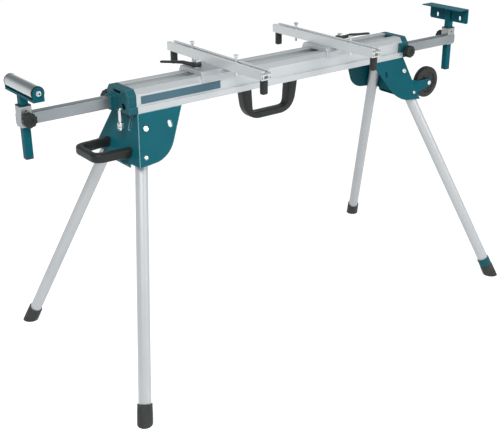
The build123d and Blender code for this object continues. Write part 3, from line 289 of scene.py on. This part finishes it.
def turned(profile, centre, axis, around=96, radius_of=None):
    """Rings round an axis from a profile of (radius, height): a point is
    centre + axis * h + r * (side * cos t + up * sin t). radius_of(r, h, t) may reshape r and h."""
    axis = np.asarray(axis, float) / np.linalg.norm(axis)
    side = np.cross(axis, [0, 0, 1] if abs(axis[2]) < 0.9 else [0, 1, 0])
    side /= np.linalg.norm(side)
    up = np.cross(axis, side)
    r, h = np.asarray(profile, float).T[:, :, None]
    t = np.linspace(0, 2 * math.pi, around, endpoint=False)[None, :]
    if radius_of:
        r, h = radius_of(r, h, t)
    r, h = np.broadcast_to(r, (len(profile), around)), np.broadcast_to(h, (len(profile), around))
    spoke = side * np.cos(t)[..., None] + up * np.sin(t)[..., None]
    return np.asarray(centre, float) + h[..., None] * axis + r[..., None] * spoke


def middle_of(name):
    """Lowest corner, highest corner and middle of a CAD node, in millimetres."""
    low, high = (np.array(corner) * 1000 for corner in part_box(name))
    return low, high, (low + high) / 2


# The outline is (radius, height), from the neck round the rim to the bottom of the recess.
knob_height = 19
knob_outline = [(9, -5), (9, 0), (16.6, 0), (18.4, 0.5), (19.3, 1.7), (19.5, 3.2), (19.5, 14.2),
                (19.2, 16.2), (18.2, 17.9), (16.4, 18.8), (14.2, knob_height),
                (10.4, knob_height), (9, 18.7), (8, 18), (7.5, 16.9), (7.4, 15.2), (6.6, 15),
                (3.2, 15), (3, 16), (2.4, 16.3)]
stud_radius, stud_tip_radius, stud_chamfer, stud_overlap = 4, 3.4, 0.6, 4


def scallop(r, h, t):
    """Ten finger hollows, 1.4 mm deep and only near the rim:
    r - 1.4 * max(0, (cos 10t + 0.2) / 1.2)^0.8."""
    hollow = 1.4 * np.clip((np.cos(10 * t) + 0.2) / 1.2, 0, 1) ** 0.8
    return r - hollow * np.clip((r - 14.5) / 3.5, 0, 1), h


for name, facing in (("arm_knob_left", 1), ("arm_knob_right", -1),
                     ("post_knob_left", -1), ("post_knob_right", 1)):
    low, high, centre = middle_of(name)
    back = (high[1] - knob_height) if facing > 0 else (low[1] + knob_height)
    tip = low[1] if facing > 0 else high[1]
    seat = np.array([centre[0], back, centre[2]])
    body = nodes[name]["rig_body"]
    head = turned(knob_outline, seat, (0, facing, 0), around=160, radius_of=scallop)
    shell(name + "_head", [(head, False)], black_plastic, body, "black_plastic", name)
    reach = abs(tip - back)
    stud_outline = [(stud_tip_radius, -reach), (stud_radius, -reach + stud_chamfer),
                    (stud_radius, -stud_overlap)]
    stud = turned(stud_outline, seat, (0, facing, 0), around=32)
    shell(name + "_stud", [(stud, False)], bright_zinc, body, "steel_fasteners")


# The roller's axle is a bolt with a round head at either end. The socket in each head is a thin
# black disc laid on it, painted shade that stands in for the socket's hollow, so that it shows as
# a black spot in a bright ring.
low, high, centre = middle_of("roller_axle")
socket_disc = [(2.7, -1), (2.7, 0.2), (2.4, 0.3), (0.6, 0.3)]
shell("roller_axle_socket_shade_discs",
      [(turned(socket_disc, (centre[0], end, centre[2]), (0, facing, 0), around=32), False)
       for end, facing in ((low[1], -1), (high[1], 1))],
      black_plastic, nodes["roller_axle"]["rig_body"], "steel_fasteners")


# The transport wheels are moulded in hard black plastic: a tyre with a parting groove round its
# middle, a rim lip, a sunk web with six ribs and a hub that runs on the steel axle. The outline is
# (radius, height) over the wheel's middle plane, from the bore to the groove.
# The lighter rim tone is a painted highlight along the wheels' edges.
wheel_plastic = finish("hard_black_wheel_plastic", "#1b1e1e", "#242827", "#454947",
                       metallic=0.0, roughness=0.44, patch=35, grain=1.4, depth=0.08, edge=1.2,
                       spread=0.07, Specular_IOR_Level=0.35)
half_wheel = [(5.05, 10.4), (5.6, 11), (9.4, 11), (10.4, 10.4), (11, 8.4), (12.2, 7), (15, 7),
              (20, 7), (26, 7), (30, 7), (32.4, 7), (33.6, 8.2), (34.2, 10.2), (35, 10.9),
              (36.4, 11), (42.6, 11), (43.4, 10.5), (43.8, 9.8), (44.6, 9.8), (45, 10.6),
              (46.4, 10.7), (48.6, 9.9), (50.2, 8.3), (50.9, 6.2), (51, 4), (51, 1.3),
              (50.5, 0.8)]
wheel_outline = half_wheel + [(r, -h) for r, h in reversed(half_wheel)]


def ribs(r, h, t):
    """Six ribs on the sunk web: between r 12 and 33 the height gains
    3 * max(0, cos 6t - 0.55)^0.5 / 0.67."""
    rise = 3 * np.sqrt(np.clip(np.cos(6 * t) - 0.55, 0, 1)) / 0.67
    inside = np.clip((r - 11.5) / 1.5, 0, 1) * np.clip((33 - r) / 1.5, 0, 1)
    return r + 0 * t, h + np.sign(h) * rise * inside


for name in ("wheel_front", "wheel_rear"):
    low, high, centre = middle_of(name)
    wheel = turned(wheel_outline, centre, (0, 1, 0), around=192, radius_of=ribs)
    shell(name + "_moulding", [(wheel, True)], wheel_plastic, nodes[name]["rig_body"],
          "wheel_plastic", name)


# The feet are black rubber, pushed over the tube ends: slightly wider at the bottom, with a thick
# rolled rim, and cut off level with the floor. The front right foot screws up and down instead.
# The lighter rim tone is a painted highlight along the feet's edges.
foot_rubber = finish("black_rubber_foot", "#2a2d2c", "#353837", "#515553",
                     metallic=0.0, roughness=0.66, patch=22, grain=1.6, depth=0.12, edge=1.2,
                     spread=0.08)
corner_of = {"left": -1, "right": 1, "front": -1, "rear": 1}
rail_x = middle_of("main_rail")[2][0]

# A leg runs from its pivot in the bracket to the floor. Along the stand both are counted from the
# rail's middle, and across it from the stand's middle plane.
pivot_x, pivot_y, pivot_z = 492.2, {"left": 57.0, "right": 53.5}, 690.0
floor_x, floor_y = 699.0, 349.0

# The outlines are (radius, depth under the foot's top edge). They run on below the floor, where
# foot_rings cuts them, and the top edge lies as far up the leg as the length says.
pushed_on_length, levelling_length = 52, 38
pushed_on = [(17.1, 0.4), (17.6, 0), (19.8, 0), (20.6, 0.7), (20.8, 2), (20.6, 3.4), (20.2, 4),
             (20.4, 4.8), (21, 24), (21, 76), (12, 76), (3, 76)]
levelling = [(8, -44), (8, -0.3), (19.6, 0), (20.6, 0.8), (21, 2.4), (21, 20), (21, 60),
             (12, 60), (3, 60)]


def foot_rings(bottom, axis, outline, length):
    """Rings round the leg's axis, each point below the floor slid back up the axis to it:
    p + axis * (z / -axis_z) where z < 0; the last rings then lie flat on the floor."""
    rings = turned(outline, bottom - axis * length, axis, around=72)
    below = np.minimum(rings[..., 2:], 0)
    return rings - axis * (below / axis[2])


for end in ("left", "right"):
    for row in ("front", "rear"):
        name = f"foot_{row}_{end}"
        along, across = corner_of[end], corner_of[row]
        pivot = np.array([rail_x + along * pivot_x, across * pivot_y[end], pivot_z])
        bottom = np.array([rail_x + along * floor_x, across * floor_y, 0.0])
        axis = (bottom - pivot) / np.linalg.norm(bottom - pivot)
        if name == "foot_front_right":
            rings = foot_rings(bottom, axis, levelling, levelling_length)
        else:
            rings = foot_rings(bottom, axis, pushed_on, pushed_on_length)
        shell(name + "_rubber", [(rings, False)], foot_rubber, nodes[name]["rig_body"],
              "black_rubber", name)


# The carry handle is one black moulding screwed under the rail: two flat arms that narrow into a
# straight grip, with every edge rounded for the hand.
def cut_corners(points, passes=4):
    """Rounds a chain by cutting its corners: each pass keeps the ends and puts points at a quarter
    and three quarters of every run."""
    points = np.asarray(points, float)
    for _ in range(passes):
        quarter = points[:-1] * 0.75 + points[1:] * 0.25
        third = points[:-1] * 0.25 + points[1:] * 0.75
        points = np.vstack([points[:1], np.stack([quarter, third], 1).reshape(-1, points.shape[1]),
                            points[-1:]])
    return points


def evenly(points, count):
    """The same chain with its points spaced evenly: each coordinate is read off at equal steps of
    the length along the chain."""
    along = np.concatenate([[0], np.cumsum(np.linalg.norm(np.diff(points, axis=0), axis=1))])
    steps = np.linspace(0, along[-1], count)
    return np.stack([np.interp(steps, along, points[:, i]) for i in range(points.shape[1])], 1)


def bar(middle, across, lift, half_width, half_height, corner, per_corner=6):
    """Rings of a bar whose section is a rounded rectangle: a point is
    middle + across * (sx * (w - c) + c * cos t) + lift * (sy * (h - c) + c * sin t), where t goes
    through a quarter turn at each of the four corners (sx, sy)."""
    quarter = np.linspace(0, math.pi / 2, per_corner)
    t = np.concatenate([quarter + i * math.pi / 2 for i in range(4)])
    sx, sy = np.repeat([1, -1, -1, 1], per_corner), np.repeat([1, 1, -1, -1], per_corner)
    w, h, c = (np.broadcast_to(np.asarray(v, float), (len(middle),))[:, None]
               for v in (half_width, half_height, corner))
    across, lift = (np.broadcast_to(np.asarray(v, float), middle.shape) for v in (across, lift))
    x = sx * (w - c) + c * np.cos(t)
    y = sy * (h - c) + c * np.sin(t)
    return middle[:, None] + x[..., None] * across[:, None] + y[..., None] * lift[:, None]


def between(outer, inner, lift, half_height, corner, count):
    """A bar between an outer and an inner chain: its middle is their mean, its width their gap."""
    outer, inner = evenly(cut_corners(outer), count), evenly(cut_corners(inner), count)
    gap = np.linalg.norm(outer - inner, axis=1)
    across = (outer - inner) / gap[:, None]
    return bar((outer + inner) / 2, across, lift, gap / 2, half_height, corner)


# Half of the handle's outer and inner edge: distance from its middle, and depth under the rail.
half_outer = [(107, 0), (104, 21), (99, 54), (94, 77), (78, 99), (52, 110), (30, 110)]
half_inner = [(72, 0), (70, 25), (68, 57), (67, 76), (61, 88), (46, 89.5), (30, 89.5)]
grip_shift, grip_half_depth, grip_rounding, grip_rings = 7, 17, 5.5, 96
low, high, centre = middle_of("carry_handle")
grip_x = centre[0] + grip_shift
handle_chains = [np.array([(grip_x + side * u, centre[1], high[2] - v)
                           for side, half in ((-1, chain), (1, chain[::-1])) for u, v in half])
                 for chain in (half_outer, half_inner)]
handle = between(*handle_chains, (0, 1, 0), grip_half_depth, grip_rounding, grip_rings)
shell("carry_handle_moulding", [(handle, False)], black_plastic, "stand", "black_plastic",
      "carry_handle")


# The tow grip is a second black moulding, a level loop bolted to the left bracket's end plate.
# Its bar is nearly square with rounded edges, and its feet widen where the bolts go in. The
# chains are half of its outer and inner edge: place along the stand, distance from the middle.
loop_growth, loop_drop, bar_growth, bar_rounding, bar_width, loop_rings = 4, 3.5, 2.5, 6.5, 19, 130
low, high, centre = middle_of("tow_grip")
plate = high[0]
reach = low[0] - loop_growth
outer_chain = [(plate, 71), (plate - 24, 71), (reach + 66, 67), (reach, 63), (reach, 8),
               (reach, 0)]
inner_chain = [(plate, 46), (plate - 24, 45.5), (reach + 52, 42), (reach + bar_width, 39),
               (reach + bar_width, 10), (reach + bar_width, 0)]
bar_z = centre[2] - loop_drop
bar_half_height = (high[2] - low[2]) / 2 + bar_growth
grip_chains = [np.array([(x, side * y, bar_z) for side, half in ((-1, chain), (1, chain[-2::-1]))
                         for x, y in half]) for chain in (outer_chain, inner_chain)]
loop = between(*grip_chains, (0, 0, 1), bar_half_height, bar_rounding, loop_rings)
shell("tow_grip_moulding", [(loop, False)], black_plastic, "stand", "black_plastic", "tow_grip")


# The stored wrench is a bent steel rod with a socket on its end, polished and chrome plated. Its
# short arm sits in the left end cap. The chrome's darker rim tone is painted shade along its
# edges.
chrome = finish("polished_chrome_plate", "#c3c7c9", "#d6d9da", "#7d8386",
                metallic=1.0, roughness=0.14, patch=30, grain=0.8, depth=0.005, edge=1.2,
                spread=0.04)
rod_radius, shank_inset, socket_length = 4.4, 8.2, 20
rod_corner = 4.399  # Just under the radius, so that no side of the section has a length of zero.
low, high, centre = middle_of("socket_wrench")
shank_x, shank_z = low[0] + shank_inset, high[2] - rod_radius
rod_line = evenly(cut_corners([(high[0], 0, 0), (shank_x + 14, 0, 0), (shank_x + 2.5, 0, 0),
                               (shank_x, 0, -2.5), (shank_x, 0, -14), (shank_x, 0, -40)]), 60)
rod_line = rod_line + [0, centre[1], shank_z]
ahead = np.gradient(rod_line, axis=0)
ahead /= np.linalg.norm(ahead, axis=1)[:, None]
rod = bar(rod_line, (0, 1, 0), np.cross(ahead, [0, 1, 0]), rod_radius, rod_radius, rod_corner,
          per_corner=8)

# The socket's outline is (radius, height) from its top, over a groove, and up into its mouth.
socket_top = low[2] + socket_length
socket_outline = [(4.4, 1.5), (6.4, 1.2), (7.8, 0), (8.2, -1.2), (8.2, -9.4), (7.5, -10),
                  (7.5, -11), (8.2, -11.6), (8.2, -19), (7.7, -20), (6.4, -20), (6.2, -19.4),
                  (6.1, -9), (2, -9)]
socket = turned(socket_outline, (shank_x, centre[1], socket_top), (0, 0, 1), around=64)
shell("socket_wrench_chrome", [(rod, False), (socket, False)], chrome, "stand", "chrome_tool",
      "socket_wrench")


# Each saw bracket's cam lever is moulded in black plastic: a round hub on the clamp screw and a
# tapered arm that is cranked up a little and thins towards its rounded tip. The heading is the
# arm's direction seen from above, in degrees from the stand's long axis.
lever_length, lever_middle, lever_crank = 104.0, 6.6, 4.5
hub_outline = [(5.05, 0.3), (13.6, 0), (14.7, 0.7), (15, 2), (15, 8.6), (14.4, 10.4),
               (12.8, 11.4), (10.6, 11.5), (5.05, 11.5)]
for name, heading in (("left", 136.0), ("right", -18.0)):
    node = "clamp_lever_" + name
    low, high, centre = middle_of("clamp_screw_" + name)
    hub = np.array([centre[0], centre[1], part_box(node)[0][2] * 1000])
    way = np.array([math.cos(math.radians(heading)), math.sin(math.radians(heading)), 0])
    aside = np.array([-way[1], way[0], 0])
    d = np.concatenate([[4.0], np.linspace(8, 92, 36), [96, 99, 101.4, 103, 103.8, lever_length]])
    ease = np.clip((d - 16) / 26, 0, 1)
    rise = lever_crank * ease * ease * (3 - 2 * ease)
    fade = np.clip((lever_length - d) / 6.5, 0, 1)
    round_off = np.sqrt(np.clip(1 - (1 - fade) ** 2, 0.01, 1))
    half_width = (10.6 - 5.2 * np.clip(d / 70, 0, 1)) * round_off
    half_height = (4.6 - 1.5 * np.clip((d - 8) / 60, 0, 1)) * round_off
    middle = hub + d[:, None] * way + (lever_middle + rise)[:, None] * [0, 0, 1]
    arm = bar(middle, aside, (0, 0, 1), half_width, half_height,
              np.minimum(half_width, half_height) * 0.72)
    hub_rings = turned(hub_outline, hub, (0, 0, 1), around=72)
    shell(node + "_moulding", [(arm, False), (hub_rings, True)], black_plastic,
          nodes[node]["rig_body"], "black_plastic", node)


# Under each beam end stands a black moulded foot, a rounded peg that stops the beam from tipping
# past the bolts; it is pushed up into the beam's hollow. Its lower edge is rounded: shrink is how
# much narrower it is at each level over its bottom.
peg_half_width, peg_half_depth, peg_corner = 10, 8.5, 5.5
level = np.array([0, 0, 0.4, 1.2, 2.4, 4.0])
shrink = np.array([3.4, 3.2, 2.0, 1.0, 0.3, 0, 0])
for name in ("left", "right"):
    node = "beam_feet_" + name
    low, high, centre = middle_of(node)
    heights = np.concatenate([low[2] + level, [high[2]]])
    pegs = []
    for y in (low[1] + peg_half_depth, high[1] - peg_half_depth):
        middle = np.stack([np.full(len(heights), centre[0]), np.full(len(heights), y), heights], 1)
        pegs.append((bar(middle, (1, 0, 0), (0, 1, 0), peg_half_width - shrink,
                         peg_half_depth - shrink, peg_corner - shrink), False))
    shell(node + "_pegs", pegs, black_plastic, nodes[node]["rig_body"], "black_rubber", node)


# The studio: a pale floor that keeps the shadow, a white horizon that goes to grey overhead for
# the eye and for mirror finishes, and two broad soft lamps, from the front left and front right.
def for_the_eye(tree, lit, seen):
    """Mixes two shaders: the second for camera, glossy and transmission rays, and the first for
    all others. The share is the largest of the three flags."""
    path = put(tree, "ShaderNodeLightPath")
    mirror = put(tree, "ShaderNodeMath", {"operation": "MAXIMUM"})
    tree.links.new(path.outputs["Is Camera Ray"], mirror.inputs[0])
    tree.links.new(path.outputs["Is Glossy Ray"], mirror.inputs[1])
    clear = put(tree, "ShaderNodeMath", {"operation": "MAXIMUM"})
    tree.links.new(mirror.outputs[0], clear.inputs[0])
    tree.links.new(path.outputs["Is Transmission Ray"], clear.inputs[1])
    mix = put(tree, "ShaderNodeMixShader", Fac=clear.outputs[0])
    tree.links.new(lit.outputs[0], mix.inputs[1])
    tree.links.new(seen.outputs[0], mix.inputs[2])
    return mix.outputs[0]


def studio_floor(half=40):
    """A square floor, level with the feet, whose half width is in metres."""
    mesh = bpy.data.meshes.new("studio_floor")
    mesh.from_pydata([(-half, -half, 0), (half, -half, 0), (half, half, 0), (-half, half, 0)], [],
                     [(0, 1, 2, 3)])
    piece = bpy.data.objects.new("studio_floor", mesh)
    bpy.context.scene.collection.objects.link(piece)
    material = bpy.data.materials.new("pale_studio_floor")
    material.use_nodes = True
    tree = material.node_tree
    tree.nodes.clear()
    matt = put(tree, "ShaderNodeBsdfDiffuse", {"Color": linear("#c9cbcc")})
    glow = put(tree, "ShaderNodeEmission", {"Color": linear("#ffffff"), "Strength": 0.7})
    pale = put(tree, "ShaderNodeAddShader")
    tree.links.new(matt.outputs[0], pale.inputs[0])
    tree.links.new(glow.outputs[0], pale.inputs[1])
    put(tree, "ShaderNodeOutputMaterial", Surface=for_the_eye(tree, matt, pale))
    mesh.materials.append(material)


studio_floor()
world = bpy.data.worlds.new("studio_air")
bpy.context.scene.world = world
world.use_nodes = True
air = world.node_tree
air.nodes.clear()
light = put(air, "ShaderNodeBackground", {"Color": linear("#f7f7f7"), "Strength": 0.52})
upward = put(air, "ShaderNodeSeparateXYZ",
             Vector=put(air, "ShaderNodeTexCoord").outputs["Generated"])
sweep = put(air, "ShaderNodeValToRGB", Fac=upward.outputs["Z"])
sweep.color_ramp.elements[0].position, sweep.color_ramp.elements[1].position = 0.06, 0.4
sweep.color_ramp.elements[0].color = (1, 1, 1, 1)
sweep.color_ramp.elements[1].color = linear("#8d9496")
white = put(air, "ShaderNodeBackground", {"Strength": 1.0}, Color=sweep.outputs["Color"])
put(air, "ShaderNodeOutputWorld", Surface=for_the_eye(air, light, white))

# Places, aims and sizes are in metres, and power is in watts.
for name, place, aim, width, height, power in (
        ("soft_lamp_front_left", (-2.0, -1.9, 3.4), (0, 0, 0.6), 2.2, 1.6, 84),
        ("soft_lamp_front_right", (1.8, -3.2, 2.1), (0.2, 0, 0.6), 2.0, 1.4, 40)):
    lamp = bpy.data.lights.new(name, "AREA")
    lamp.shape, lamp.size, lamp.size_y, lamp.energy = "RECTANGLE", width, height, power
    holder = bpy.data.objects.new(name, lamp)
    bpy.context.scene.collection.objects.link(holder)
    toward = np.array(aim, float) - place
    holder.location = place
    holder.rotation_euler = (math.atan2(math.hypot(toward[0], toward[1]), -toward[2]), 0,
                             math.atan2(toward[1], toward[0]) - math.pi / 2)

# The camera stands to the front left, 37.2 degrees round and 23.5 degrees down, as fitted to the
# rail, the feet and the posts. Its place is in metres, along the stand from the rail's middle.
yaw, pitch, roll = (math.radians(angle) for angle in (37.2, 23.5, -0.4))
look = np.array([math.sin(yaw) * math.cos(pitch), math.cos(yaw) * math.cos(pitch),
                 -math.sin(pitch)])
right = np.array([math.cos(yaw), -math.sin(yaw), 0])
above = np.cross(right, look)
tilted = right * math.cos(roll) + above * math.sin(roll)
upright = above * math.cos(roll) - right * math.sin(roll)
lens = bpy.data.cameras.new("photo_camera")
lens.sensor_fit, lens.sensor_width, lens.lens = "HORIZONTAL", 36.0, 65.61
camera = bpy.data.objects.new("photo_camera", lens)
bpy.context.scene.collection.objects.link(camera)
pose = np.eye(4)
place = (rail_x / 1000 - 1.6741, -2.0961, 1.4548)
pose[:3, 0], pose[:3, 1], pose[:3, 2], pose[:3, 3] = tilted, upright, -look, place
camera.matrix_world = Matrix(pose.tolist())
bpy.context.scene.camera = camera
bpy.context.scene.view_settings.view_transform = "Standard"
